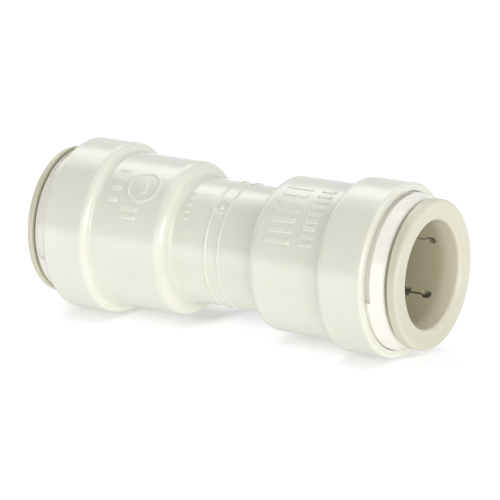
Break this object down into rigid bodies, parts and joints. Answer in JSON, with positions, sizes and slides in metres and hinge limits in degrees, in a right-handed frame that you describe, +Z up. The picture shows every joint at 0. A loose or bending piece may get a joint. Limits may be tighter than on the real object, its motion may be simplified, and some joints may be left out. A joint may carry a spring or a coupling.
{
  "type": "push fit coupling",
  "caption": "Straight push fit coupling for plastic tube, with a stepped body, screwless end caps, a releasable gripping collet and an O-ring seal at each end.",
  "frame": {"origin": "middle of the part, on the tube axis", "axes": "+X along the tube axis towards the right-hand end, +Z up, +Y to the back"},
  "size_m": [0.065, 0.0264, 0.0264],
  "materials": {
    "body_plastic": "satin moulded polysulfone, ivory",
    "cap_plastic": "satin moulded plastic, ivory white",
    "collet_plastic": "satin moulded acetal, greyish ivory",
    "spacer_plastic": "satin moulded plastic, white",
    "stainless": "stamped stainless steel",
    "seal_rubber": "black EPDM, lightly greased"
  },
  "bodies": {
    "housing": {"body": "body_plastic", "right_end_cap": "cap_plastic", "left_end_cap": "cap_plastic", "right_o_ring": "seal_rubber", "left_o_ring": "seal_rubber"},
    "right_spacer_ring": {"right_spacer": "spacer_plastic"},
    "right_gripper": {"right_collet": "collet_plastic", "right_tooth_1": "stainless", "right_tooth_2": "stainless", "right_tooth_3": "stainless", "right_tooth_4": "stainless", "right_tooth_5": "stainless", "right_tooth_6": "stainless"},
    "left_spacer_ring": {"left_spacer": "spacer_plastic"},
    "left_gripper": {"left_collet": "collet_plastic", "left_tooth_1": "stainless", "left_tooth_2": "stainless", "left_tooth_3": "stainless", "left_tooth_4": "stainless", "left_tooth_5": "stainless", "left_tooth_6": "stainless"}
  },
  "joints": [
    {"name": "right_collet_spin", "type": "hinge", "parent": "housing", "child": "right_spacer_ring", "pos_m": [0.0154, 0, 0], "axis": [1, 0, 0], "continuous": true},
    {"name": "right_collet_slide", "type": "slide", "parent": "right_spacer_ring", "child": "right_gripper", "axis": [1, 0, 0], "range_m": [-0.0006, 0.0016]},
    {"name": "left_collet_spin", "type": "hinge", "parent": "housing", "child": "left_spacer_ring", "pos_m": [-0.0154, 0, 0], "axis": [-1, 0, 0], "continuous": true},
    {"name": "left_collet_slide", "type": "slide", "parent": "left_spacer_ring", "child": "left_gripper", "axis": [-1, 0, 0], "range_m": [-0.00025, 0.0016]}
  ]
}
